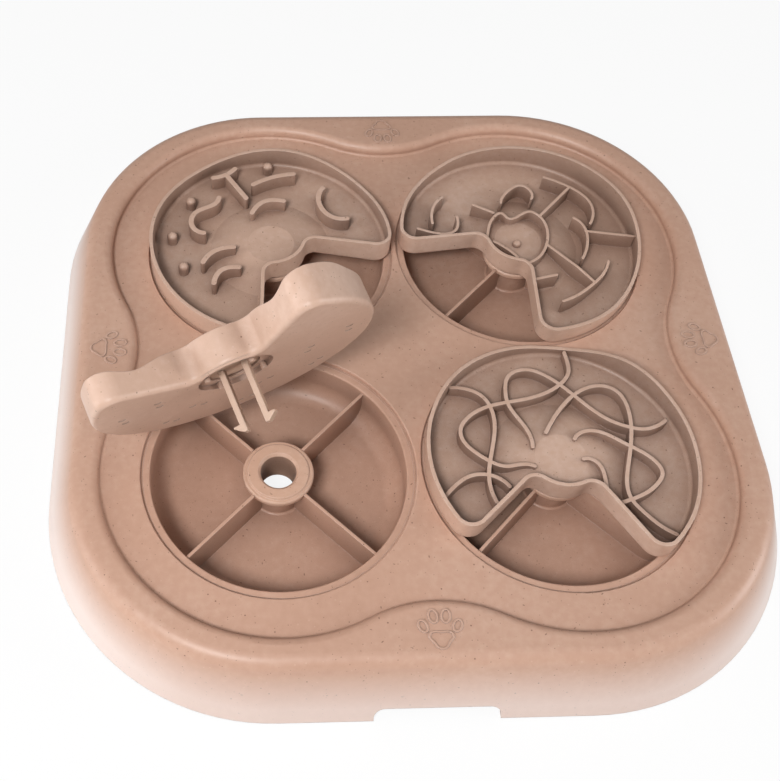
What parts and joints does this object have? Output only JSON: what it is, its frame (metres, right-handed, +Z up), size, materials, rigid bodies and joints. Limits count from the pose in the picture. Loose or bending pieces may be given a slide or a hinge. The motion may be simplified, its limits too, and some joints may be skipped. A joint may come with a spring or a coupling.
{
  "type": "pet puzzle feeder",
  "caption": "Square puzzle feeder: moulded base with divided round wells, each under a turning maze tray with a V notch that snaps on a hub; one tray is lifted off.",
  "frame": {"origin": "under the middle of the base, on the surface that it stands on", "axes": "+Z up, -Y towards the side with the finger grip, +X to the right seen from there"},
  "size_m": [0.3424, 0.3424, 0.1532],
  "materials": {
    "shell": "speckled plant-fibre filled plastic, satin",
    "tray": "speckled plant-fibre filled plastic, satin",
    "bush": "speckled plant-fibre filled plastic, satin",
    "clip": "plain pale plastic",
    "rubber": "soft matte rubber"
  },
  "bodies": {
    "base": {"base_shell": "shell", "well_front_left": "shell", "well_front_right": "shell", "well_back_left": "shell", "well_back_right": "shell", "hub_bush_front_left": "bush", "hub_bush_front_right": "bush", "hub_bush_back_left": "bush", "hub_bush_back_right": "bush", "foot_front_left": "rubber", "foot_front_right": "rubber", "foot_back_left": "rubber", "foot_back_right": "rubber"},
    "clip_front_left": {"snap_clip_front_left": "clip"},
    "tray_front_left": {"tray_front_left": "tray"},
    "clip_front_right": {"snap_clip_front_right": "clip"},
    "tray_front_right": {"tray_front_right": "tray"},
    "clip_back_left": {"snap_clip_back_left": "clip"},
    "tray_back_left": {"tray_back_left": "tray"},
    "clip_back_right": {"snap_clip_back_right": "clip"},
    "tray_back_right": {"tray_back_right": "tray"}
  },
  "joints": [
    {"name": "front_left_seat", "type": "hinge", "parent": "base", "child": "clip_front_left", "pos_m": [-0.0953, -0.0187, 0.0509], "axis": [0.8526, 0.4913, 0.1781], "range_deg": [0, 73.7], "deforming": ["snap_clip_front_left"]},
    {"name": "front_left_spin", "type": "hinge", "parent": "clip_front_left", "child": "tray_front_left", "pos_m": [-0.08256, -0.05706, 0.09577], "axis": [-0.3623, 0.8813, 0.3035], "continuous": true},
    {"name": "front_right_lift", "type": "slide", "parent": "base", "child": "clip_front_right", "axis": [0, 0, 1], "range_m": [0, 0.06], "deforming": ["snap_clip_front_right"]},
    {"name": "front_right_spin", "type": "hinge", "parent": "clip_front_right", "child": "tray_front_right", "pos_m": [0.064, -0.064, 0.0261], "axis": [0, 0, 1], "continuous": true},
    {"name": "back_left_lift", "type": "slide", "parent": "base", "child": "clip_back_left", "axis": [0, 0, 1], "range_m": [0, 0.06], "deforming": ["snap_clip_back_left"]},
    {"name": "back_left_spin", "type": "hinge", "parent": "clip_back_left", "child": "tray_back_left", "pos_m": [-0.064, 0.064, 0.0261], "axis": [0, 0, 1], "continuous": true},
    {"name": "back_right_lift", "type": "slide", "parent": "base", "child": "clip_back_right", "axis": [0, 0, 1], "range_m": [0, 0.06], "deforming": ["snap_clip_back_right"]},
    {"name": "back_right_spin", "type": "hinge", "parent": "clip_back_right", "child": "tray_back_right", "pos_m": [0.064, 0.064, 0.0261], "axis": [0, 0, 1], "continuous": true}
  ]
}
